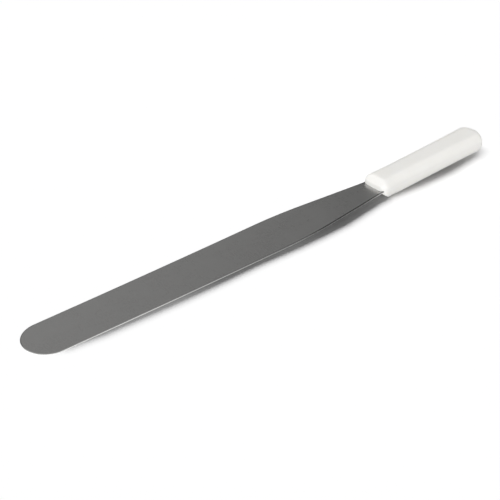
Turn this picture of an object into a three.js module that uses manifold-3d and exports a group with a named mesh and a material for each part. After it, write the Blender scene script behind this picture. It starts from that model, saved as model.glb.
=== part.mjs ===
// Straight baker's spatula: a long flexible steel blade whose hidden tang is keyed into a moulded handle.
// Millimetres, +Z up. The spatula lies as it does on a table, on its tip and on the lower edge of the
// handle's nose, with +X from the tip to the butt. The origin is under the middle of its bounding box.
import * as THREE from 'three';
import { mergeVertices } from 'three/addons/utils/BufferGeometryUtils.js';
import Module from 'manifold-3d';

// Blade in plan: its exposed length, round tip, and the taper from the shoulder down to the heel.
const BLADE_LENGTH = 355.6;
const TIP_RADIUS = 20.75;
const SHOULDER_WIDTH = 44.45;
const SHOULDER_BLEND = 27;
const TAPER_LENGTH = 93.6;
const HEEL_WIDTH = 23;

// Blade section, and the sag of the blade between its tip and the handle.
const TIP_THICKNESS = 0.9;
const HEEL_THICKNESS = 1.3;
const EDGE_EASE = 0.2;
const BLADE_BOW = 1.25;

// Tang: the blade goes on into the handle at full width, then steps in to a strip with keying holes.
const TANG_NECK = 7;
const TANG_STEP = 4;
const TANG_STEP_BLEND = 5;
const TANG_END_COVER = 34;
const TANG_HOLE_DIAMETER = 7;
const TANG_HOLE_COUNT = 3;
const TANG_HOLE_MARGIN = 14;
const MOULD_GAP = 0.3;

// Handle: its length, its plan and thickness, and the angle at which it is set to the blade's heel.
const HANDLE_SET_ANGLE = 1.3;
const HANDLE_LENGTH = 134;
const WAIST_STATION = 40;
const WAIST_WIDTH = 26.6;
const BUTT_WIDTH = 29.6;
const NOSE_THICKNESS = 18;
const BUTT_THICKNESS = 18.4;
const CORNER_RADIUS = 7.8;

// Nose: a low front land with rounded corners, and flat bevels from it up and down to the full thickness.
const NOSE_SIDE_WALL = 2.1;
const NOSE_LIP = 2.35;
const NOSE_CORNER = 7;
const NOSE_BEVEL = 7;

// Butt: full round corners in plan, a rolled rim above and below, and a small flat end.
const BUTT_DEPTH = 11;
const BUTT_FULLNESS = 0.62;
const BUTT_RIM_DEPTH = 6;
const BUTT_FLAT_WIDTH = 5;
const BUTT_FLAT_HEIGHT = 6.4;

// Facets: the longest step on straight and curved stretches, points in each corner and hole, the angle
// at which round ends are cut off, and the largest share of a half size that a rounded corner takes.
const STRAIGHT_STEP = 12;
const CURVE_STEP = 2.5;
const CORNER_STEPS = 8;
const HOLE_SIDES = 32;
const END_ANGLE = 0.06;
const CORNER_SHARE = 0.96;

// Sizes that follow from those above.
const shoulderStation = BLADE_LENGTH - TAPER_LENGTH;
const tangLength = HANDLE_LENGTH - TANG_END_COVER;
const tangWidth = HEEL_WIDTH - 2 * TANG_STEP;
const noseWidth = HEEL_WIDTH + 2 * NOSE_SIDE_WALL;
const noseLand = HEEL_THICKNESS + 2 * NOSE_LIP;

const wasm = await Module();
wasm.setup();

const steel = new THREE.MeshStandardMaterial({ color: 0x8a8986, roughness: 0.42, metalness: 1 });
const polypropylene = new THREE.MeshStandardMaterial({ color: 0xefeeea, roughness: 0.5, metalness: 0 });

// Points along a half outline: x is the station and y the half width there.
function stations(outline) {
  const points = [];
  for (const curve of outline.curves) {
    const step = curve.isLineCurve ? STRAIGHT_STEP : CURVE_STEP;
    const steps = Math.ceil(curve.getLength() / step);
    points.push(...curve.getPoints(steps).slice(points.length > 0 ? 1 : 0));
  }
  return points;
}

// Closed skin over a row of rings that all have the same number of points.
function loft(rings) {
  const sides = rings[0].length;
  const positions = rings.flat();
  const faces = [];
  for (let row = 0; row < rings.length - 1; row += 1) {
    for (let side = 0; side < sides; side += 1) {
      const a = row * sides + side;
      const b = row * sides + (side + 1) % sides;
      faces.push(a, b, a + sides, b, b + sides, a + sides);
    }
  }
  const last = (rings.length - 1) * sides;
  for (let side = 1; side < sides - 1; side += 1) {
    faces.push(0, side + 1, side);
    faces.push(last, last + side, last + side + 1);
  }
  const geometry = new THREE.BufferGeometry().setFromPoints(positions);
  geometry.setIndex(faces);
  return geometry;
}

function toSolid(geometry) {
  const bare = geometry.clone();
  bare.deleteAttribute('normal');
  bare.deleteAttribute('uv');
  const merged = mergeVertices(bare);
  return new wasm.Manifold(new wasm.Mesh({
    numProp: 3,
    vertProperties: new Float32Array(merged.attributes.position.array),
    triVerts: new Uint32Array(merged.index.array),
  }));
}

function toGeometry(solid) {
  const mesh = solid.getMesh();
  const geometry = new THREE.BufferGeometry();
  geometry.setAttribute('position', new THREE.BufferAttribute(mesh.vertProperties, 3));
  geometry.setIndex(new THREE.BufferAttribute(mesh.triVerts, 1));
  geometry.computeVertexNormals();
  return geometry;
}

// Middle line of the blade from its tip to the handle, in the plane of its bow.
const bow = new THREE.QuadraticBezierCurve(
  new THREE.Vector2(0, 0),
  new THREE.Vector2(BLADE_LENGTH / 2, -2 * BLADE_BOW),
  new THREE.Vector2(BLADE_LENGTH, 0),
);

// Frame of the handle: its front is at the blade's heel, and its axis is set up a little from the heel.
const handleLift = bow.getTangent(1).angle() + THREE.MathUtils.degToRad(HANDLE_SET_ANGLE);
const handleFrame = new THREE.Matrix4().makeRotationY(-handleLift).setPosition(BLADE_LENGTH, 0, 0);

// A flat strip's section with eased edges, as pairs of side and height.
function stripSection(halfWidth, halfThickness) {
  const ease = Math.min(EDGE_EASE, halfWidth / 2, halfThickness / 2);
  const side = halfWidth - ease;
  const height = halfThickness - ease;
  return [
    [-halfWidth, -height], [-side, -halfThickness], [side, -halfThickness], [halfWidth, -height],
    [halfWidth, height], [side, halfThickness], [-side, halfThickness], [-halfWidth, height],
  ];
}

// Half outline of the exposed blade: round tip, slightly flared body, long taper down to the heel.
function bladeOutline() {
  const reach = shoulderStation - TIP_RADIUS;
  const halfShoulder = SHOULDER_WIDTH / 2;
  const halfHeel = HEEL_WIDTH / 2;
  const flare = Math.atan2(halfShoulder, reach) - Math.asin(TIP_RADIUS / Math.hypot(reach, halfShoulder));
  const taper = Math.atan2(halfShoulder - halfHeel, BLADE_LENGTH - shoulderStation);
  const outline = new THREE.Path();
  outline.absarc(TIP_RADIUS, 0, TIP_RADIUS, Math.PI - END_ANGLE, Math.PI / 2 + flare, true);
  outline.lineTo(
    shoulderStation - SHOULDER_BLEND * Math.cos(flare),
    halfShoulder - SHOULDER_BLEND * Math.sin(flare),
  );
  outline.quadraticCurveTo(
    shoulderStation,
    halfShoulder,
    shoulderStation + SHOULDER_BLEND * Math.cos(taper),
    halfShoulder - SHOULDER_BLEND * Math.sin(taper),
  );
  outline.lineTo(BLADE_LENGTH, halfHeel);
  return outline;
}

// Half outline of the tang in the handle's frame, with a margin added all round for its socket.
function tangOutline(start, margin) {
  const halfHeel = HEEL_WIDTH / 2 + margin;
  const halfTang = tangWidth / 2 + margin;
  const stepEnd = TANG_NECK + TANG_STEP_BLEND;
  const end = tangLength + margin;
  const outline = new THREE.Path();
  outline.moveTo(start, halfHeel);
  outline.lineTo(TANG_NECK, halfHeel);
  outline.quadraticCurveTo(stepEnd, halfHeel, stepEnd, halfTang);
  outline.lineTo(end - halfTang, halfTang);
  outline.absarc(end - halfTang, 0, halfTang, Math.PI / 2, END_ANGLE, true);
  return outline;
}

function bladeRing(station, halfWidth) {
  const share = station / BLADE_LENGTH;
  const centre = bow.getPoint(share);
  const along = bow.getTangent(share);
  const halfThickness = THREE.MathUtils.lerp(TIP_THICKNESS, HEEL_THICKNESS, share) / 2;
  return stripSection(halfWidth, halfThickness).map(([side, height]) => (
    new THREE.Vector3(centre.x - height * along.y, side, centre.y + height * along.x)
  ));
}

function tangRing(station, halfWidth, margin) {
  return stripSection(halfWidth, HEEL_THICKNESS / 2 + margin).map(([side, height]) => (
    new THREE.Vector3(station, side, height)
  ));
}

// Round bars across the tang, used for its holes and for the plastic that fills them.
function tangBars(diameter, length) {
  const first = TANG_NECK + TANG_STEP_BLEND + TANG_HOLE_MARGIN;
  const last = tangLength - TANG_HOLE_MARGIN;
  const bars = [];
  for (let index = 0; index < TANG_HOLE_COUNT; index += 1) {
    const bar = new THREE.CylinderGeometry(diameter / 2, diameter / 2, length, HOLE_SIDES);
    bar.rotateX(Math.PI / 2);
    bar.translate(THREE.MathUtils.lerp(first, last, index / (TANG_HOLE_COUNT - 1)), 0, 0);
    bars.push(bar);
  }
  return bars;
}

function makeBlade() {
  const exposed = stations(bladeOutline()).map((point) => bladeRing(point.x, point.y));
  const hidden = stations(tangOutline(0, 0)).slice(1).map((point) => tangRing(point.x, point.y, 0));
  for (const ring of hidden) {
    ring.forEach((corner) => corner.applyMatrix4(handleFrame));
  }
  let solid = toSolid(loft([...exposed, ...hidden]));
  for (const bar of tangBars(TANG_HOLE_DIAMETER, NOSE_THICKNESS)) {
    bar.applyMatrix4(handleFrame);
    solid = solid.subtract(toSolid(bar));
  }
  const mesh = new THREE.Mesh(toGeometry(solid), steel);
  mesh.name = 'blade';
  return mesh;
}

// Half outline of the handle in plan: rounded front corner, slight waist, flare, rounded butt.
function handleOutline() {
  const halfNose = noseWidth / 2;
  const halfButt = BUTT_WIDTH / 2;
  const halfFlat = BUTT_FLAT_WIDTH / 2;
  const buttStart = HANDLE_LENGTH - BUTT_DEPTH;
  const outline = new THREE.Path();
  outline.absarc(NOSE_CORNER, halfNose - NOSE_CORNER, NOSE_CORNER, Math.PI, Math.PI / 2, true);
  outline.splineThru([
    new THREE.Vector2(WAIST_STATION, WAIST_WIDTH / 2),
    new THREE.Vector2(buttStart, halfButt),
  ]);
  outline.bezierCurveTo(
    buttStart + BUTT_FULLNESS * BUTT_DEPTH,
    halfButt,
    HANDLE_LENGTH,
    halfFlat + BUTT_FULLNESS * (halfButt - halfFlat),
    HANDLE_LENGTH,
    halfFlat,
  );
  return outline;
}

// Half thickness of the handle: flat upper and lower lands that part slightly, then the butt's rolled rim.
function handleHalfThickness(station) {
  const share = station / HANDLE_LENGTH;
  const land = THREE.MathUtils.lerp(NOSE_THICKNESS, BUTT_THICKNESS, share) / 2;
  const end = BUTT_FLAT_HEIGHT / 2;
  const left = Math.min(1, (HANDLE_LENGTH - station) / BUTT_RIM_DEPTH);
  return end + (land - end) * Math.sqrt(left * (2 - left));
}

function handleRing(station, halfWidth) {
  const halfThickness = handleHalfThickness(station);
  const radius = Math.min(CORNER_RADIUS, CORNER_SHARE * halfWidth, CORNER_SHARE * halfThickness);
  const ring = [];
  for (let corner = 0; corner < 4; corner += 1) {
    const middle = Math.PI * (1.25 + corner / 2);
    const side = Math.sign(Math.cos(middle)) * (halfWidth - radius);
    const height = Math.sign(Math.sin(middle)) * (halfThickness - radius);
    for (let step = 0; step <= CORNER_STEPS; step += 1) {
      const angle = middle + (step / CORNER_STEPS - 0.5) * Math.PI / 2;
      const across = side + radius * Math.cos(angle);
      const above = height + radius * Math.sin(angle);
      ring.push(new THREE.Vector3(station, across, above));
    }
  }
  return ring;
}

// Wedge that planes the nose from the front land back to the upper land, or to the lower one.
function noseWedge(direction) {
  const land = handleHalfThickness(NOSE_BEVEL);
  const profile = new THREE.Shape();
  const rise = (land - noseLand / 2) / NOSE_BEVEL;
  const reach = NOSE_BEVEL / 2;
  profile.moveTo(-reach, noseLand / 2 - reach * rise);
  profile.lineTo(NOSE_BEVEL + reach, land + reach * rise);
  profile.lineTo(-reach, land + reach * rise);
  const wedge = new THREE.ExtrudeGeometry(profile, { depth: 2 * noseWidth, bevelEnabled: false });
  wedge.translate(0, 0, -noseWidth);
  wedge.rotateX(direction * Math.PI / 2);
  return wedge;
}

function tangSocket() {
  const rings = stations(tangOutline(-NOSE_BEVEL, MOULD_GAP));
  let socket = toSolid(loft(rings.map((point) => tangRing(point.x, point.y, MOULD_GAP))));
  for (const plug of tangBars(TANG_HOLE_DIAMETER - 2 * MOULD_GAP, NOSE_THICKNESS)) {
    socket = socket.subtract(toSolid(plug));
  }
  return socket;
}

function makeHandle() {
  let solid = toSolid(loft(stations(handleOutline()).map((point) => handleRing(point.x, point.y))));
  for (const direction of [1, -1]) {
    solid = solid.subtract(toSolid(noseWedge(direction)));
  }
  solid = solid.subtract(tangSocket());
  const mesh = new THREE.Mesh(toGeometry(solid), polypropylene);
  mesh.name = 'handle';
  mesh.applyMatrix4(handleFrame);
  return mesh;
}

// Turn that brings the tip and the lower edge of the nose level with each other on the table.
function restingTurn() {
  const toe = new THREE.Vector3(0, 0, -TIP_THICKNESS / 2);
  const nose = new THREE.Vector3(NOSE_BEVEL, 0, -handleHalfThickness(NOSE_BEVEL));
  nose.applyMatrix4(handleFrame);
  return Math.atan2(nose.z - toe.z, nose.x - toe.x);
}

const spatula = new THREE.Group();
spatula.add(makeBlade(), makeHandle());
spatula.rotation.y = restingTurn();
const box = new THREE.Box3().setFromObject(spatula, true);
spatula.position.set(-(box.min.x + box.max.x) / 2, 0, -box.min.z);

const table = new THREE.Group();
table.add(spatula);

export default table;
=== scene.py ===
import math

import bmesh
import bpy
from mathutils import Matrix, Vector


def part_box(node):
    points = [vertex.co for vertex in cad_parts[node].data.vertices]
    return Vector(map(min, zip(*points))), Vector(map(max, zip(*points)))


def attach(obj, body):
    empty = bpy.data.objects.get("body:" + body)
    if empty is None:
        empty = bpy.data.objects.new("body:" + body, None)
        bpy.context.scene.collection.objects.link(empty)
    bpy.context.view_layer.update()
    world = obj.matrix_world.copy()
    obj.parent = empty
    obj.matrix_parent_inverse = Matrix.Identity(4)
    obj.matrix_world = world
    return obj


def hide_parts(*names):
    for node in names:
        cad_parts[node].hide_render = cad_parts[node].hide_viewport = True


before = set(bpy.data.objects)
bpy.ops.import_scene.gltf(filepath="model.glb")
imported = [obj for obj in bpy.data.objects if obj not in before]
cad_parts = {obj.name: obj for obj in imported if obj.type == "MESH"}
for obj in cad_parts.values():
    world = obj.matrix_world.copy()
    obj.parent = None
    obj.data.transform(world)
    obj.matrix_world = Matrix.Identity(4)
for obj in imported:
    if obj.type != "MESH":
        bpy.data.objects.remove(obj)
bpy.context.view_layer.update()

# the pieces are measured in millimetres, with x from the tip along the spatula, y across and z up
mm = 0.001
weld = 1e-7                   # metres; points that lie closer become one
print("frame loaded:", ", ".join(sorted(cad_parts)))


def lerp(a, b, t):
    return a + (b - a) * t


def linePoints(a, b, steps):
    return [(lerp(a[0], b[0], i / steps), lerp(a[1], b[1], i / steps)) for i in range(1, steps + 1)]


def arcPoints(centre, radius, start, end, steps):
    points = []
    for i in range(1, steps + 1):
        angle = lerp(start, end, i / steps)
        points.append((centre[0] + radius * math.cos(angle), centre[1] + radius * math.sin(angle)))
    return points


def curvePoints(control, steps):
    # any number of control points, by dividing the lines between them until one point is left
    points = []
    for i in range(1, steps + 1):
        row = control
        while len(row) > 1:
            row = [tuple(lerp(p[k], q[k], i / steps) for k in (0, 1)) for p, q in zip(row, row[1:])]
        points.append(row[0])
    return points


def splinePoints(knots, steps):
    # smooth run through all the knots, with half-length tangents at both ends
    points = []
    for n in range(len(knots) - 1):
        p0, p1, p2, p3 = (knots[min(max(n + k, 0), len(knots) - 1)] for k in (-1, 0, 1, 2))
        for i in range(1, steps + 1):
            t = i / steps
            basis = (2 * t**3 - 3 * t**2 + 1, t**3 - 2 * t**2 + t, 3 * t**2 - 2 * t**3, t**3 - t**2)
            parts = [(p1[k], (p2[k] - p0[k]) / 2, p2[k], (p3[k] - p1[k]) / 2) for k in (0, 1)]
            points.append(tuple(sum(b * v for b, v in zip(basis, part)) for part in parts))
    return points


def newPiece(name, mesh, node):
    piece = bpy.data.objects.new(name, mesh)
    bpy.context.scene.collection.objects.link(piece)
    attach(piece, "root")
    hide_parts(node)
    return piece


def finishMesh(bm, mesh):
    # welds what coincides, drops slivers and turns all faces outwards
    bmesh.ops.remove_doubles(bm, verts=bm.verts, dist=weld)
    bmesh.ops.dissolve_degenerate(bm, edges=bm.edges, dist=weld)
    bmesh.ops.recalc_face_normals(bm, faces=bm.faces)
    bm.to_mesh(mesh)
    bm.free()


def skin(name, rings, place):
    # closed skin over rings that all have the same number of points
    bm = bmesh.new()
    rows = [[bm.verts.new(place @ Vector(p)) for p in ring] for ring in rings]
    for low, high in zip(rows, rows[1:]):
        for i in range(len(low)):
            j = (i + 1) % len(low)
            bm.faces.new((low[i], low[j], high[j], high[i]))
    bm.faces.new(rows[0][::-1])
    bm.faces.new(rows[-1])
    mesh = bpy.data.meshes.new(name)
    finishMesh(bm, mesh)
    return mesh


def cutMesh(mesh, cutters):
    # boolean through throwaway objects, and the result as a plain mesh
    target = bpy.data.objects.new("cutTarget", mesh)
    bpy.context.scene.collection.objects.link(target)
    tools = []
    for cutter in cutters:
        tool = bpy.data.objects.new("cutTool", cutter)
        bpy.context.scene.collection.objects.link(tool)
        modifier = target.modifiers.new("cut", "BOOLEAN")
        modifier.object = tool
        modifier.operation = "DIFFERENCE"
        modifier.solver = "EXACT"
        tools.append(tool)
    graph = bpy.context.evaluated_depsgraph_get()
    result = bpy.data.meshes.new_from_object(target.evaluated_get(graph))
    for old in (target, *tools):
        bpy.data.objects.remove(old)
    bm = bmesh.new()
    bm.from_mesh(result)
    manySided = [f for f in bm.faces if len(f.verts) > 4]
    bmesh.ops.triangulate(bm, faces=manySided)
    finishMesh(bm, result)
    return result


def smoothSkin(mesh, degrees=32):
    mesh.polygons.foreach_set("use_smooth", [True] * len(mesh.polygons))
    mesh.set_sharp_from_angle(angle=math.radians(degrees))


# blade, with the tang that goes on inside the handle
blade = {
    "length": 355.6,          # from the tip to the front of the handle
    "tipRadius": 20.95,
    "shoulderWidth": 44.8,
    "shoulderBlend": 27,
    "taperLength": 93.6,
    "heelWidth": 24.1,
    "tipThickness": 0.9,
    "heelThickness": 1.3,
    "bow": 1.25,              # sag between the tip and the handle
    "edgeRadius": 0.4,        # rounding of the polished rim
    "edgeSteps": 6,
    "rimBand": 0.5,           # narrow strip that keeps the broad faces flat
    "spans": 8,               # faces across the strip
    "tipSteps": 56,
    "sideSteps": 64,
    "blendSteps": 24,
    "taperSteps": 24,
}
tang = {
    "setAngle": 1.3,          # degrees up from the heel of the blade
    "neck": 7,
    "step": 4,
    "stepBlend": 5,
    "length": 100,
    "holeDiameter": 7,
    "holeCount": 3,
    "holeMargin": 14,
    "holeSides": 48,
    "barHeight": 18,          # of the bars that cut the holes
    "plugGap": 0.05,          # the plastic is moulded tight against the steel
    "neckSteps": 4,
    "blendSteps": 10,
    "sideSteps": 16,
    "endSteps": 20,
}
heelSlope = math.atan2(4 * blade["bow"], blade["length"])
handleLift = heelSlope + math.radians(tang["setAngle"])
handleFrame = Matrix.Translation((blade["length"], 0, 0)) @ Matrix.Rotation(-handleLift, 4, "Y")


def stripProfile(thickness):
    # pairs of inset and height round one rim of a flat strip, from its upper to its lower face
    radius, steps = blade["edgeRadius"], blade["edgeSteps"]
    inner = radius + blade["rimBand"]
    flat = thickness / 2 - radius
    quarter = [math.pi / 2 * i / steps for i in range(steps + 1)]
    upper = [(radius - radius * math.sin(a), flat + radius * math.cos(a)) for a in quarter]
    lower = [(d, -h) for d, h in reversed(upper)]
    return [(inner, thickness / 2)] + upper + lower + [(inner, -thickness / 2)]


def stripFrame(station):
    # middle of the strip and its direction, along the sagging blade and then straight along the tang
    length = blade["length"]
    if station > length:
        direction = Vector((math.cos(handleLift), 0, math.sin(handleLift)))
        return Vector((length, 0, 0)) + direction * (station - length), direction
    share = station / length
    height = -4 * blade["bow"] * share * (1 - share)
    slope = -4 * blade["bow"] * (1 - 2 * share) / length
    return Vector((station, 0, height)), Vector((1, 0, slope)).normalized()


def stripRings(outline, spans, margin=0):
    last = len(outline) - 1
    rings = []
    for i, (x, y) in enumerate(outline):
        before, after = outline[max(i - 1, 0)], outline[min(i + 1, last)]
        along = Vector((after[0] - before[0], after[1] - before[1])).normalized()
        out = Vector((-along.y, along.x))
        if y == 0:            # an end on the middle line faces straight along the strip
            out = Vector((-1 if i == 0 else 1, 0))
        share = min(1, x / blade["length"])
        thickness = lerp(blade["tipThickness"], blade["heelThickness"], share) + 2 * margin
        side = []
        for inset, height in stripProfile(thickness):
            centre, direction = stripFrame(x - out.x * inset)
            up = Vector((-direction.z, 0, direction.x))
            side.append(centre + up * height + Vector((0, max(0, y - out.y * inset), 0)))
        mirrored = [Vector((p.x, -p.y, p.z)) for p in side]
        under = [side[-1].lerp(mirrored[-1], k / spans) for k in range(1, spans)]
        over = [mirrored[0].lerp(side[0], k / spans) for k in range(1, spans)]
        rings.append(side + under + mirrored[::-1] + over)
    return rings


def bladeOutline():
    radius, length = blade["tipRadius"], blade["length"]
    shoulder = (length - blade["taperLength"], blade["shoulderWidth"] / 2)
    heel = (length, blade["heelWidth"] / 2)
    reach = shoulder[0] - radius
    flare = math.atan2(shoulder[1], reach) - math.asin(radius / math.hypot(reach, shoulder[1]))
    taper = math.atan2(shoulder[1] - heel[1], blade["taperLength"])
    blend = blade["shoulderBlend"]
    blendStart = (shoulder[0] - blend * math.cos(flare), shoulder[1] - blend * math.sin(flare))
    blendEnd = (shoulder[0] + blend * math.cos(taper), shoulder[1] - blend * math.sin(taper))
    outline = [(0, 0)]
    outline += arcPoints((radius, 0), radius, math.pi, math.pi / 2 + flare, blade["tipSteps"])
    outline += linePoints(outline[-1], blendStart, blade["sideSteps"])
    outline += curvePoints([blendStart, shoulder, blendEnd], blade["blendSteps"])
    outline += linePoints(blendEnd, heel, blade["taperSteps"])
    return outline


def tangOutline(start, margin=0):
    front = blade["length"]
    halfHeel = blade["heelWidth"] / 2 + margin
    halfTang = blade["heelWidth"] / 2 - tang["step"] + margin
    neckEnd = (front + tang["neck"], halfHeel)
    stepEnd = (neckEnd[0] + tang["stepBlend"], halfTang)
    endCentre = (front + tang["length"] + margin - halfTang, 0)
    outline = [(start, halfHeel)]
    outline += linePoints(outline[0], neckEnd, tang["neckSteps"])
    outline += curvePoints([neckEnd, (stepEnd[0], halfHeel), stepEnd], tang["blendSteps"])
    outline += linePoints(stepEnd, (endCentre[0], halfTang), tang["sideSteps"])
    outline += arcPoints(endCentre, halfTang, math.pi / 2, 0, tang["endSteps"])
    outline[-1] = (outline[-1][0], 0)
    return outline


def tangBars(diameter, place):
    # round bars through the tang, one for each hole, turned so that no corner is on the middle line
    first = tang["neck"] + tang["stepBlend"] + tang["holeMargin"]
    last = tang["length"] - tang["holeMargin"]
    sides, radius = tang["holeSides"], diameter / 2
    turns = [2 * math.pi * (k + 0.5) / sides for k in range(sides)]
    bars = []
    for n in range(tang["holeCount"]):
        x = lerp(first, last, n / (tang["holeCount"] - 1))
        rings = []
        for z in (-tang["barHeight"] / 2, tang["barHeight"] / 2):
            rings.append([(x + radius * math.cos(a), radius * math.sin(a), z) for a in turns])
        bars.append(skin("tangBar", rings, place @ handleFrame))
    return bars


def makeBlade(place):
    outline = bladeOutline() + tangOutline(blade["length"])[1:]
    strip = skin("bladeSkin", stripRings(outline, blade["spans"]), place)
    mesh = cutMesh(strip, tangBars(tang["holeDiameter"], place))
    mesh.name = "spatulaBlade"
    smoothSkin(mesh)
    return newPiece("spatulaBlade", mesh, "blade")


# handle; its stations run from the front of the nose to the butt
above, below = 0, 1           # places in the pairs that hold a value for each half
handle = {
    "length": 134,
    "noseWidth": 27.2,
    "noseCorner": 7,
    "noseThickness": 18,
    "noseLand": 3.4,          # height of the lip above the middle of the blade
    "noseBevel": 7,
    "lipFoot": 0.8,           # the lip leans back from just above the blade
    "lipLean": 0.9,
    "lowerLand": 0.95,        # the underside of the nose is cut back from just below the blade
    "lowerBevel": 10,
    "bevelSoftness": 1.5,     # how far the nose edges are rounded
    "belly": 0.75,            # swell of the underside, which bears on the table
    "bellySpan": (7, 31, 120),    # where it begins, is deepest and ends
    "cornerRadius": 7.8,
    "lowerCorner": 5.6,       # the lower corners are tighter towards the nose
    "cornerShare": 0.96,      # most that a corner takes of half the width or height
    "waistStation": 40,
    "waistWidth": 26.6,
    "buttWidth": 29.6,
    "buttThickness": 18.4,
    "buttDepth": 7.5,
    "buttFullness": 0.52,
    "buttRim": (7, 4),        # rounding of the end along the handle, above and below
    "buttFlatWidth": 1.2,
    "buttFlatHeight": (12, 14.5),
    "buttLean": 1.5,          # how far the end is drawn in at the bottom
    "partingRidge": 0.05,     # witness line of the mould along both sides
    "partingWidth": 0.22,
    "partingSteps": (0, 0.5, 1, 2),   # where the skin has points, in widths of the line
    "noseSteps": 20,
    "sideSteps": 22,
    "buttSteps": 34,
    "cornerSteps": 16,
    "flatSteps": 5,
}


def handleHalfThickness(station, half=above):
    land = lerp(handle["noseThickness"], handle["buttThickness"], station / handle["length"]) / 2
    end = handle["buttFlatHeight"][half] / 2
    left = min(1, max(0, handle["length"] - station) / handle["buttRim"][half])
    return end + (land - end) * math.sqrt(left * (2 - left))


def handleOutline():
    corner, halfNose = handle["noseCorner"], handle["noseWidth"] / 2
    length, halfButt, halfFlat = handle["length"], handle["buttWidth"] / 2, handle["buttFlatWidth"] / 2
    buttStart = length - handle["buttDepth"]
    full = handle["buttFullness"]
    outline = [(0, halfNose - corner)]
    outline += arcPoints((corner, halfNose - corner), corner, math.pi, math.pi / 2, handle["noseSteps"])
    waist = (handle["waistStation"], handle["waistWidth"] / 2)
    outline += splinePoints([outline[-1], waist, (buttStart, halfButt)], handle["sideSteps"])
    butt = [
        (buttStart, halfButt),
        (buttStart + full * handle["buttDepth"], halfButt),
        (length, halfFlat + full * (halfButt - halfFlat)),
        (length, halfFlat),
    ]
    outline += curvePoints(butt, handle["buttSteps"])
    return outline


def ringAngles():
    # directions round the handle, closest together at its rounded corners and its mould line
    halfWidth, halfThickness = handle["waistWidth"] / 2, handle["noseThickness"] / 2
    radius = handle["cornerRadius"]
    flat, upright = halfWidth - radius, halfThickness - radius
    corner, across = handle["cornerSteps"], handle["flatSteps"]
    points = [(halfWidth, handle["partingWidth"] * k) for k in handle["partingSteps"]]
    for i in range(corner + 1):
        a = math.pi / 2 * i / corner
        points.append((flat + radius * math.cos(a), upright + radius * math.sin(a)))
    points += [(flat * (1 - k / across), halfThickness) for k in range(1, across)]
    quarter = [math.atan2(z, y) for y, z in points] + [math.pi / 2]
    half = quarter + [math.pi - a for a in reversed(quarter[:-1])]
    return half + [2 * math.pi - a for a in reversed(half[1:-1])]


def roundedReach(c, s, halfWidth, halfThickness, radius):
    # distance from the middle to a rounded rectangle, in the direction c, s
    c, s = abs(c), abs(s)
    if halfWidth * s <= (halfThickness - radius) * c:
        return halfWidth / c
    if halfThickness * c <= (halfWidth - radius) * s:
        return halfThickness / s
    a, b = halfWidth - radius, halfThickness - radius
    along = c * a + s * b
    return along + math.sqrt(along * along - (a * a + b * b - radius * radius))


def softMin(a, b, width):
    share = max(0, width - abs(a - b)) / width
    return min(a, b) - share * share * width / 4


def bellyDepth(station):
    start, peak, end = handle["bellySpan"]
    away = (peak - station) / (peak - start) if station < peak else (station - peak) / (end - peak)
    return handle["belly"] * math.cos(math.pi / 2 * min(1, away)) ** 2


def noseHeight(station, land, bevelEnd):
    # height of a flat bevel from the middle, above a lip that leans back
    height = land + (handleHalfThickness(bevelEnd) - land) * station / bevelEnd
    return lerp(handle["lipFoot"], height, min(1, station / handle["lipLean"]))


def handleRing(station, halfWidth, angles):
    growth = min(1, station / handle["bellySpan"][-1])
    upper = {
        "depth": handleHalfThickness(station),
        "corner": handle["cornerRadius"],
        "bevel": noseHeight(station, handle["noseLand"], handle["noseBevel"]),
    }
    lower = {
        "depth": handleHalfThickness(station, below) + bellyDepth(station),
        "corner": lerp(handle["lowerCorner"], handle["cornerRadius"], growth),
        "bevel": noseHeight(station, handle["lowerLand"], handle["lowerBevel"]),
    }
    ridge = handle["partingRidge"] * min(1, station / handle["noseCorner"])
    lean = handle["buttLean"] * max(0, 1 - (handle["length"] - station) / handle["buttRim"][above]) ** 2
    ring = []
    for angle in angles:
        c, s = math.cos(angle), math.sin(angle)
        half = lower if s < 0 else upper
        radius = min(half["corner"], handle["cornerShare"] * min(halfWidth, half["depth"]))
        reach = roundedReach(c, s, halfWidth, half["depth"], radius)
        if s != 0:
            reach = softMin(reach, half["bevel"] / abs(s), handle["bevelSoftness"])
        reach += ridge * max(0, 1 - abs(reach * s) / handle["partingWidth"])
        drawnIn = lean * max(0, -reach * s) / half["depth"]
        ring.append((station - drawnIn, reach * c, reach * s))
    return ring


def makeSocket(place):
    # space of the tang inside the handle, with the plastic that goes through its holes left standing
    gap = tang["plugGap"]
    outline = tangOutline(blade["length"] - handle["noseBevel"], gap)
    strip = skin("socketSkin", stripRings(outline, spans=1, margin=gap), place)
    return cutMesh(strip, tangBars(tang["holeDiameter"] - 2 * gap, place))


def makeHandle(place):
    angles = ringAngles()
    rings = [handleRing(x, y, angles) for x, y in handleOutline()]
    mesh = cutMesh(skin("handleSkin", rings, place @ handleFrame), [makeSocket(place)])
    mesh.name = "spatulaHandle"
    smoothSkin(mesh)
    return newPiece("spatulaHandle", mesh, "handle")


def restPlace():
    # the spatula lies on its tip and on the lower front of the handle
    toe = Vector((0, 0, -blade["tipThickness"] / 2))
    bevelEnd = handle["noseBevel"]
    nose = handleFrame @ Vector((bevelEnd, 0, -handleHalfThickness(bevelEnd)))
    turn = Matrix.Rotation(math.atan2(nose.z - toe.z, nose.x - toe.x), 4, "Y")
    tip = turn @ toe
    tipAt = Vector((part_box("blade")[0].x, 0, 0))
    return Matrix.Translation(tipAt) @ Matrix.Scale(mm, 4) @ Matrix.Translation((-tip.x, 0, -tip.z)) @ turn


place = restPlace()
bladePiece = makeBlade(place)
handlePiece = makeHandle(place)
print("blade and handle built:", len(bladePiece.data.vertices), len(handlePiece.data.vertices), "points")


# shader helpers
nodeSpacing = 220             # new nodes are laid out in columns
nodesPerColumn = 4
mixSockets = (0, 6, 7)        # share and both colours of a Mix node that is set to colours
mixResult = 2
rangeSockets = ("Value", "From Min", "From Max", "To Min", "To Max")


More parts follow.
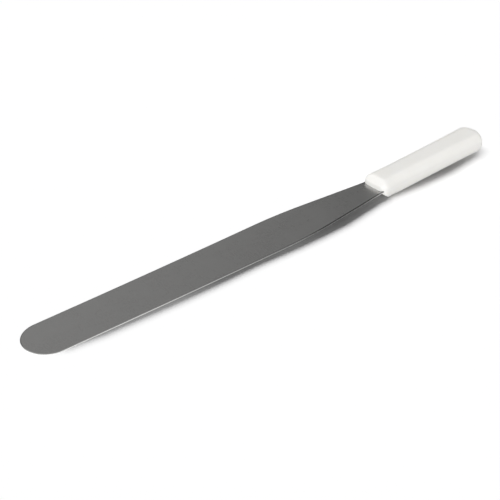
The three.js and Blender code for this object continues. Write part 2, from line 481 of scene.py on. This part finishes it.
def addNode(tree, kind, **sockets):
    column, row = divmod(len(tree.nodes), nodesPerColumn)
    node = tree.nodes.new(kind)
    node.location = (column * nodeSpacing, -row * nodeSpacing)
    for label, value in sockets.items():
        node.inputs[label].default_value = value
    return node


def feed(tree, source, socket):
    # a number goes straight into the socket, an output is linked to it
    if isinstance(source, (int, float, tuple)):
        socket.default_value = source
    else:
        tree.links.new(source, socket)


def maths(tree, operation, *sources):
    node = addNode(tree, "ShaderNodeMath")
    node.operation = operation
    for socket, source in zip(node.inputs, sources):
        feed(tree, source, socket)
    return node.outputs[0]


def remap(tree, value, low, high, toLow=0, toHigh=1):
    node = addNode(tree, "ShaderNodeMapRange")
    for label, source in zip(rangeSockets, (value, low, high, toLow, toHigh)):
        feed(tree, source, node.inputs[label])
    return node.outputs["Result"]


def blend(tree, share, first, second):
    node = addNode(tree, "ShaderNodeMix")
    node.data_type = "RGBA"
    for slot, source in zip(mixSockets, (share, first, second)):
        feed(tree, source, node.inputs[slot])
    return node.outputs[mixResult]


def stretched(tree, coords, scale, turn=0):
    node = addNode(tree, "ShaderNodeMapping", Scale=scale, Rotation=(0, 0, math.radians(turn)))
    node.vector_type = "TEXTURE" if turn else "POINT"
    tree.links.new(coords, node.inputs["Vector"])
    return node.outputs["Vector"]


def axes(tree, coords):
    node = addNode(tree, "ShaderNodeSeparateXYZ")
    tree.links.new(coords, node.inputs[0])
    return node.outputs


def attribute(tree, name):
    node = addNode(tree, "ShaderNodeAttribute")
    node.attribute_name = name
    return node.outputs


def noise(tree, coords, scale, detail=2):
    node = addNode(tree, "ShaderNodeTexNoise", Detail=detail)
    tree.links.new(coords, node.inputs["Vector"])
    feed(tree, scale, node.inputs["Scale"])
    return node.outputs["Fac"]


def relief(tree, height, strength, depth, under=None):
    node = addNode(tree, "ShaderNodeBump", Strength=strength, Distance=depth * mm)
    tree.links.new(height, node.inputs["Height"])
    if under:
        tree.links.new(under, node.inputs["Normal"])
    return node.outputs["Normal"]


def toneRamp(tree, share, stops):
    # the first stop is at 0 and the last at 1
    node = addNode(tree, "ShaderNodeValToRGB")
    elements = node.color_ramp.elements
    for position, tone in stops[1:-1]:
        elements.new(position)
    for element, (position, tone) in zip(elements, stops):
        element.position = position
        element.color = (*tone, 1)
    tree.links.new(share, node.inputs["Fac"])
    return node.outputs["Color"]


def newGroup(name, inputs, output):
    tree = bpy.data.node_groups.new(name, "ShaderNodeTree")
    for label, value in inputs.items():
        kind = "NodeSocketVector" if value is None else "NodeSocketFloat"
        socket = tree.interface.new_socket(label, in_out="INPUT", socket_type=kind)
        if value is not None:
            socket.default_value = value
    tree.interface.new_socket(output, in_out="OUTPUT", socket_type="NodeSocketFloat")
    given = addNode(tree, "NodeGroupInput")
    result = addNode(tree, "NodeGroupOutput")
    return tree, given.outputs, result.inputs[0]


def useGroup(tree, group, **sources):
    node = addNode(tree, "ShaderNodeGroup")
    node.node_tree = group
    for label, source in sources.items():
        feed(tree, source, node.inputs[label])
    return node.outputs[0]


# effects that both finishes use; all their coordinates are millimetres
mottleLook = {
    "fineness": 4.7,          # scale of the small clouds, against the broad ones
    "fineShare": 0.45,
    "range": (0.5, 0.95),
}
scratchLook = {
    "turns": (9, 64, -37),    # degrees
    "stretch": (1, 30, 1),
    "lineRange": (0.69, 0.75),
    "patchScale": 0.02,       # scale of the scratched patches, against the lines
    "patchRange": (0.45, 0.62),
}
edgeWearAndRimLook = {
    "chipScale": 0.8,
    "chipRange": (0.35, 0.65),
}


def mottleGroup():
    tree, given, result = newGroup("softMottle", {"Vector": None, "Scale": 0.05}, "Value")
    broad = noise(tree, given["Vector"], given["Scale"], detail=3)
    fineScale = maths(tree, "MULTIPLY", given["Scale"], mottleLook["fineness"])
    fine = noise(tree, given["Vector"], fineScale)
    both = maths(tree, "MULTIPLY_ADD", fine, mottleLook["fineShare"], broad)
    tree.links.new(remap(tree, both, *mottleLook["range"]), result)
    return tree


def scratchGroup():
    tree, given, result = newGroup("hairScratches", {"Vector": None, "Scale": 3.0, "Amount": 1.0}, "Mask")
    patchScale = maths(tree, "MULTIPLY", given["Scale"], scratchLook["patchScale"])
    patches = noise(tree, given["Vector"], patchScale, detail=1)
    where = remap(tree, patches, *scratchLook["patchRange"])
    lines = None
    for turn in scratchLook["turns"]:
        coords = stretched(tree, given["Vector"], scratchLook["stretch"], turn)
        streak = noise(tree, coords, given["Scale"], detail=1)
        line = remap(tree, streak, *scratchLook["lineRange"])
        lines = maths(tree, "MAXIMUM", lines, line) if lines else line
    shown = maths(tree, "MULTIPLY", lines, where)
    tree.links.new(maths(tree, "MULTIPLY", shown, given["Amount"]), result)
    return tree


# edge mask, broken up in chips: rubbed wear on the plastic, and where the painted rim reflection goes on
# the steel
def edgeWearAndRimGroup():
    tree, given, result = newGroup("edgeWearAndRimReflection", {"Edge": 0.0, "Vector": None, "Breakup": 0.5}, "Mask")
    spots = noise(tree, given["Vector"], edgeWearAndRimLook["chipScale"], detail=3)
    chips = remap(tree, spots, *edgeWearAndRimLook["chipRange"])
    missing = maths(tree, "MULTIPLY", maths(tree, "SUBTRACT", 1, chips), given["Breakup"])
    left = maths(tree, "SUBTRACT", 1, missing)
    tree.links.new(maths(tree, "MULTIPLY", given["Edge"], left), result)
    return tree


softMottle = mottleGroup()
hairScratches = scratchGroup()
edgeWearAndRimReflection = edgeWearAndRimGroup()


def newMaterial(name):
    material = bpy.data.materials.new(name)
    material.use_nodes = True
    tree = material.node_tree
    source = addNode(tree, "ShaderNodeTexCoord")
    coords = addNode(tree, "ShaderNodeVectorMath")
    coords.operation = "SCALE"
    coords.inputs["Scale"].default_value = 1 / mm
    tree.links.new(source.outputs["Object"], coords.inputs[0])
    edge = attribute(tree, "edge")["Fac"]
    return material, tree, tree.nodes["Principled BSDF"], coords.outputs[0], edge


def markPoints(mesh, name, values):
    layer = mesh.attributes.new(name, "FLOAT", "POINT")
    layer.data.foreach_set("value", [min(1, max(0, v)) for v in values])


def markEdges(mesh, flat, sharp, shortest=0.05):
    # how tightly the surface turns at each point, from flat to sharp, in radians per millimetre;
    # edges under the shortest length count as that long
    turn = [0.0] * len(mesh.vertices)
    for line in mesh.edges:
        a, b = (mesh.vertices[i] for i in line.vertices)
        bend = a.normal.angle(b.normal, 0) / max((a.co - b.co).length / mm, shortest)
        for i in line.vertices:
            turn[i] = max(turn[i], bend)
    markPoints(mesh, "edge", [(t - flat) / (sharp - flat) for t in turn])


def markArris(mesh, low, high, fade):
    # upper corner of the rim, by how upright its points stand, where a dark line is painted
    upright = [v.normal.z for v in mesh.vertices]
    markPoints(mesh, "arris", [min(high - z, z - low) / fade for z in upright])


steelLook = {
    "dark": (0.515, 0.512, 0.503, 1),
    "light": (0.57, 0.567, 0.558, 1),
    "mottle": 0.035,          # faint cloudiness
    "mottleShare": 0.65,
    "streaks": 0.7,           # broad bands across the blade
    "streakShare": 0.35,
    "grain": 7,               # fine polishing lines per millimetre, across the blade
    "grainStretch": (1, 0.02, 0.02),
    "grainRange": (0.3, 0.7),
    "grainRoughness": (-0.03, 0.03),
    "grainRelief": (0.12, 0.006),         # strength, and depth in millimetres
    "scratches": {"Scale": 2.5, "Amount": 0.4},
    "scratchTone": (0.7, 0.7, 0.69, 1),
    "scratchShare": 0.5,
    "scratchPolish": 0.05,
    "scratchRelief": (0.05, 0.002),
    "roughness": (0.27, 0.33),
    "edgeTurn": (0.3, 1.5),   # turn per millimetre where the painted rim reflection begins, and is full
    "rimBreakup": 0.25,
    "rimBlue": 0.985,         # a little less blue, so that the rim is slightly warm
    "rim": (                  # place along the blade, and how bright the rim is painted there, as painted reflection of the light and shade it mirrors
        (-244, 1),
        (-150, 0.86),
        (-100, 0.58),
        (-50, 0.44),
        (0, 0.26),
        (30, 0.12),
        (85, 0.12),
        (100, 0.32),
        (112, 0.75),
    ),
    "farRimShade": (0.03, 0.03, 0.029, 1),     # the far side of the rim is painted dark, as painted shade
    "rimTurn": (-8, 8),                   # where it changes across the tip
    "arris": (0.15, 0.9995, 0.003),       # upright share of the corner above the rim that is painted dark, and its fade
    "arrisFrom": (18, 34),                # where along the blade the painted dark line on the corner begins
    # painted shade: colour of the dark line along the upper corner of the rim
    "arrisPaintedShade": (0.02, 0.02, 0.019, 1),
}


def bladeSteel(mesh):
    markEdges(mesh, *steelLook["edgeTurn"])
    markArris(mesh, *steelLook["arris"])
    material, tree, shader, coords, edge = newMaterial("satinBladeSteel")
    mottle = useGroup(tree, softMottle, Vector=coords, Scale=steelLook["mottle"])
    scratches = useGroup(tree, hairScratches, Vector=coords, **steelLook["scratches"])
    across = stretched(tree, coords, steelLook["grainStretch"])
    grain = noise(tree, across, steelLook["grain"])
    streaks = noise(tree, across, steelLook["streaks"])

    clouds = maths(tree, "MULTIPLY", mottle, steelLook["mottleShare"])
    clouds = maths(tree, "MULTIPLY_ADD", streaks, steelLook["streakShare"], clouds)
    tone = blend(tree, clouds, steelLook["dark"], steelLook["light"])
    scratched = maths(tree, "MULTIPLY", scratches, steelLook["scratchShare"])
    tone = blend(tree, scratched, tone, steelLook["scratchTone"])

    # painted reflection: the rim's colour is bright towards the tip, dark towards the heel and bright
    # again at the handle, for the light and shade it mirrors; the far side and the upper corner near the
    # heel are painted dark
    rimReflectionMask = useGroup(tree, edgeWearAndRimReflection, Edge=edge, Vector=coords, Breakup=steelLook["rimBreakup"])
    axis = axes(tree, coords)
    first, last = steelLook["rim"][0][0], steelLook["rim"][-1][0]
    blue = steelLook["rimBlue"]
    stops = [((x - first) / (last - first), (v, v, blue * v)) for x, v in steelLook["rim"]]
    nearRim = toneRamp(tree, remap(tree, axis["X"], first, last), stops)
    farShare = remap(tree, axis["Y"], *steelLook["rimTurn"])
    rim = blend(tree, farShare, nearRim, steelLook["farRimShade"])
    tone = blend(tree, rimReflectionMask, tone, rim)
    # painted shade: a dark line along the upper corner of the rim towards the heel
    arrisShade = remap(tree, axis["X"], *steelLook["arrisFrom"])
    arrisShade = maths(tree, "MULTIPLY", arrisShade, attribute(tree, "arris")["Fac"])
    tone = blend(tree, arrisShade, tone, steelLook["arrisPaintedShade"])
    tree.links.new(tone, shader.inputs["Base Color"])

    rough = remap(tree, mottle, 0, 1, *steelLook["roughness"])
    lines = remap(tree, grain, *steelLook["grainRange"], *steelLook["grainRoughness"])
    rough = maths(tree, "ADD", rough, lines)
    polish = maths(tree, "MULTIPLY", scratches, steelLook["scratchPolish"])
    rough = maths(tree, "SUBTRACT", rough, polish)
    tree.links.new(rough, shader.inputs["Roughness"])
    normal = relief(tree, grain, *steelLook["grainRelief"])
    normal = relief(tree, scratches, *steelLook["scratchRelief"], under=normal)
    tree.links.new(normal, shader.inputs["Normal"])
    shader.inputs["Metallic"].default_value = 1
    return material


plasticLook = {
    "shade": (0.868, 0.856, 0.822, 1),
    "tone": (0.884, 0.875, 0.846, 1),
    "mottle": 0.06,
    "scuffs": {"Scale": 1.6, "Amount": 0.35},
    "scuffTone": (0.8, 0.79, 0.77, 1),
    "scuffRoughness": 0.1,
    "edgeTurn": (0.2, 1.2),   # turn per millimetre where rubbing begins, and is full
    "rubBreakup": 0.6,
    "rubTone": (0.9, 0.893, 0.87, 1),
    "rubPolish": 0.08,
    "roughness": (0.41, 0.49),
    "stipple": 4.5,           # fine grain of the mould
    "stippleRelief": (0.12, 0.012),       # strength, and depth in millimetres
    "swell": 0.22,            # slight waviness
    "swellRelief": (0.1, 0.06),
    "glow": 0.08,             # share of the light that goes into the plastic
    "glowRadius": (1, 0.9, 0.75),
    "glowDepth": 1.2,
}


def handlePlastic(mesh):
    markEdges(mesh, *plasticLook["edgeTurn"])
    material, tree, shader, coords, edge = newMaterial("whiteHandlePlastic")
    mottle = useGroup(tree, softMottle, Vector=coords, Scale=plasticLook["mottle"])
    scuffs = useGroup(tree, hairScratches, Vector=coords, **plasticLook["scuffs"])
    rubbed = useGroup(tree, edgeWearAndRimReflection, Edge=edge, Vector=coords, Breakup=plasticLook["rubBreakup"])
    stipple = noise(tree, coords, plasticLook["stipple"])
    swell = noise(tree, coords, plasticLook["swell"], detail=1)

    tone = blend(tree, mottle, plasticLook["shade"], plasticLook["tone"])
    tone = blend(tree, scuffs, tone, plasticLook["scuffTone"])
    tone = blend(tree, rubbed, tone, plasticLook["rubTone"])
    tree.links.new(tone, shader.inputs["Base Color"])

    rough = remap(tree, mottle, 0, 1, *plasticLook["roughness"])
    polish = maths(tree, "MULTIPLY", rubbed, plasticLook["rubPolish"])
    rough = maths(tree, "SUBTRACT", rough, polish)
    dulled = maths(tree, "MULTIPLY", scuffs, plasticLook["scuffRoughness"])
    rough = maths(tree, "ADD", rough, dulled)
    tree.links.new(rough, shader.inputs["Roughness"])
    normal = relief(tree, stipple, *plasticLook["stippleRelief"])
    normal = relief(tree, swell, *plasticLook["swellRelief"], under=normal)
    tree.links.new(normal, shader.inputs["Normal"])
    shader.inputs["Subsurface Weight"].default_value = plasticLook["glow"]
    shader.inputs["Subsurface Radius"].default_value = plasticLook["glowRadius"]
    shader.inputs["Subsurface Scale"].default_value = plasticLook["glowDepth"] * mm
    return material


bladePiece.data.materials.append(bladeSteel(bladePiece.data))
handlePiece.data.materials.append(handlePlastic(handlePiece.data))
print("finishes set")


# studio, measured in metres
middle = (0, 0, 0)
plainWhite = (1, 1, 1, 1)


def aim(thing, target):
    thing.rotation_mode = "QUATERNION"
    thing.rotation_quaternion = (thing.location - Vector(target)).to_track_quat("Z", "Y")


def stageMaterial(name):
    material = bpy.data.materials.new(name)
    material.use_nodes = True
    tree = material.node_tree
    tree.nodes.remove(tree.nodes["Principled BSDF"])
    return material, tree, tree.nodes["Material Output"].inputs["Surface"]


def newStage(name, mesh, material):
    mesh.materials.append(material)
    thing = bpy.data.objects.new(name, mesh)
    bpy.context.scene.collection.objects.link(thing)
    return thing


floorLook = {
    "size": 14,
    "drop": 0.00005,          # keeps it clear of the pieces
    "bounce": (0.48, 0.48, 0.48, 1),
    "white": (1.215, 1.215, 1.215, 1),
    "directDepth": 0.5,       # mirrors show the plain floor only before any matt bounce
}


def makeFloor():
    half = floorLook["size"] / 2
    corners = [(x * half, y * half, -floorLook["drop"]) for x, y in ((-1, -1), (1, -1), (1, 1), (-1, 1))]
    mesh = bpy.data.meshes.new("studioFloor")
    mesh.from_pydata(corners, [], [(0, 1, 2, 3)])
    # the lens sees the shadow, mirrors see a plain white floor, and matt surfaces get its bounce
    material, tree, surface = stageMaterial("studioFloorWhite")
    path = addNode(tree, "ShaderNodeLightPath").outputs
    diffuse = addNode(tree, "ShaderNodeBsdfDiffuse")
    tone = blend(tree, path["Is Camera Ray"], floorLook["bounce"], floorLook["white"])
    tree.links.new(tone, diffuse.inputs["Color"])
    plain = addNode(tree, "ShaderNodeEmission", Color=plainWhite)
    mirrored = maths(tree, "MAXIMUM", path["Is Glossy Ray"], path["Is Transmission Ray"])
    direct = maths(tree, "LESS_THAN", path["Diffuse Depth"], floorLook["directDepth"])
    mirrored = maths(tree, "MULTIPLY", mirrored, direct)
    either = addNode(tree, "ShaderNodeMixShader")
    for slot, source in enumerate((mirrored, diffuse.outputs[0], plain.outputs[0])):
        tree.links.new(source, either.inputs[slot])
    tree.links.new(either.outputs[0], surface)
    floor = newStage("studioFloor", mesh, material)
    return floor


# unseen card that gives the floor its soft shadow, in millimetres
shadeCard = {
    "back": 20,
    "bladeHeight": 8.5,
    "bladeStations": (        # place along, where the near side lies, and share of light let through
        (-238, -4, 0.25),
        (-220, -13.9, 0.22),
        (-190, -17.2, 0.2),
        (-120, -18.9, 0.19),
        (-80, -18.5, 0.11),
        (-40, -17.2, 0.1),
        (0, -18.1, 0.11),
        (30, -17.7, 0.07),
        (60, -16.1, 0.05),
        (105, -8.6, 0.06),
    ),
    "handleHeight": 13,
    "handleStations": (
        (125, -4.2, 0.06),
        (160, -6.1, 0.07),
        (200, -4.9, 0.04),
        (222, -1.8, 0.06),
        (242, 1.5, 0.15),
        (260, 6, 0.85),
    ),
}


def makeShadeCard():
    near, far, clear = [], [], []
    for part in ("blade", "handle"):
        z = shadeCard[part + "Height"]
        for x, y, share in shadeCard[part + "Stations"]:
            near.append(Vector((x, y, z)) * mm)
            far.append(Vector((x, shadeCard["back"], z)) * mm)
            clear.append(share)
    count = len(near)
    mesh = bpy.data.meshes.new("shadeCard")
    mesh.from_pydata(near + far, [], [(i, i + 1, count + i + 1, count + i) for i in range(count - 1)])
    markPoints(mesh, "clear", clear + clear)
    material, tree, surface = stageMaterial("shadeCardFilm")
    film = addNode(tree, "ShaderNodeBsdfTransparent")
    tree.links.new(attribute(tree, "clear")["Color"], film.inputs["Color"])
    tree.links.new(film.outputs[0], surface)
    card = newStage("shadeCard", mesh, material)
    card.visible_camera = False
    card.visible_diffuse = False
    card.visible_glossy = False
    card.visible_transmission = False
    return card


lamps = {
    "softboxDistance": 4,
    "softboxSize": 3,
    "softboxes": {
        "rear": {"from": (-0.33, 0.63, 0.71), "power": 55},
        "left": {"from": (-0.8, -0.22, 0.56), "power": 118},
        "front": {"from": (-0.1, -0.97, 0.2), "power": 126},
        "right": {"from": (0.75, 0.3, 0.6), "power": 28},
    },
    "floorKey": {"from": (0, 0.68, 0.73), "strength": 3.16, "angle": 34},
}


def addLamp(name, kind, at, receivers, blockers):
    lamp = bpy.data.lights.new(name, kind)
    thing = bpy.data.objects.new(name, lamp)
    thing.location = at
    bpy.context.scene.collection.objects.link(thing)
    aim(thing, middle)
    lit = bpy.data.collections.new(name + "Lights")
    for receiver in receivers:
        lit.objects.link(receiver)
    shading = bpy.data.collections.new(name + "Shading")
    for blocker in blockers:
        shading.objects.link(blocker)
    thing.light_linking.receiver_collection = lit
    thing.light_linking.blocker_collection = shading
    return lamp


def makeLamps(floor):
    # the steel shows the room, so the softboxes are for the handle
    blockers = (bladePiece, handlePiece, floor)
    for name, box in lamps["softboxes"].items():
        at = Vector(box["from"]).normalized() * lamps["softboxDistance"]
        lamp = addLamp(name + "Softbox", "AREA", at, (handlePiece,), blockers)
        lamp.size = lamps["softboxSize"]
        lamp.energy = box["power"]
    # the floor has its own key and card, so that the shadow lies along the near edge
    sun = lamps["floorKey"]
    key = addLamp("floorKey", "SUN", Vector(sun["from"]), (floor,), (makeShadeCard(),))
    key.angle = math.radians(sun["angle"])
    key.energy = sun["strength"]


room = {
    "fill": (0.09, 0.09, 0.09, 1),        # what the matt surfaces get
    "glowFrom": (-0.3, 0.85, 0.43),
    "tones": (                # from straight away from the glow, at 0, to straight towards it, at 1
        (0, 0.42),
        (0.35, 0.38),
        (0.65, 0.17),
        (0.715, 0.12),
        (0.768, 0.19),
        (0.811, 0.28),
        (0.879, 0.37),
        (1, 0.46),
    ),
    "cove": (0.12, 0.25),     # slope at which the white cove begins to end, and ends
}


def seenRays(tree):
    # what the lens, polished steel and clear things see, as against the light that matt surfaces get
    path = addNode(tree, "ShaderNodeLightPath").outputs
    seen = maths(tree, "MAXIMUM", path["Is Camera Ray"], path["Is Glossy Ray"])
    return maths(tree, "MAXIMUM", seen, path["Is Transmission Ray"])


def makeWorld():
    world = bpy.data.worlds.new("softStudio")
    world.use_nodes = True
    tree = world.node_tree
    direction = addNode(tree, "ShaderNodeTexCoord").outputs["Generated"]
    facing = addNode(tree, "ShaderNodeVectorMath")
    facing.operation = "DOT_PRODUCT"
    facing.inputs[1].default_value = Vector(room["glowFrom"]).normalized()
    tree.links.new(direction, facing.inputs[0])
    stops = [(position, (v, v, v)) for position, v in room["tones"]]
    tones = toneRamp(tree, remap(tree, facing.outputs["Value"], -1, 1), stops)
    begin, end = room["cove"]
    cove = remap(tree, axes(tree, direction)["Z"], begin, end, 1, 0)
    walls = blend(tree, cove, tones, plainWhite)
    shown = blend(tree, seenRays(tree), room["fill"], walls)
    tree.links.new(shown, tree.nodes["Background"].inputs["Color"])
    bpy.context.scene.world = world


camera = {
    "azimuth": 39.475,        # degrees from straight across, towards the tip
    "elevation": 32.178,
    "distance": 1.0,
    "target": (-0.030033, -0.00011, 0),
    "lens": 86.84784,         # millimetres, as is the sensor
    "sensorWidth": 36,
}


def makeCamera():
    data = bpy.data.cameras.new("photoCamera")
    data.lens = camera["lens"]
    data.sensor_width = camera["sensorWidth"]
    thing = bpy.data.objects.new("photoCamera", data)
    a, e = math.radians(camera["azimuth"]), math.radians(camera["elevation"])
    back = Vector((-math.sin(a) * math.cos(e), -math.cos(a) * math.cos(e), math.sin(e)))
    thing.location = Vector(camera["target"]) + back * camera["distance"]
    bpy.context.scene.collection.objects.link(thing)
    aim(thing, camera["target"])
    bpy.context.scene.camera = thing


makeLamps(makeFloor())
makeWorld()
makeCamera()
bpy.context.scene.view_settings.view_transform = "Standard"
print("studio ready")
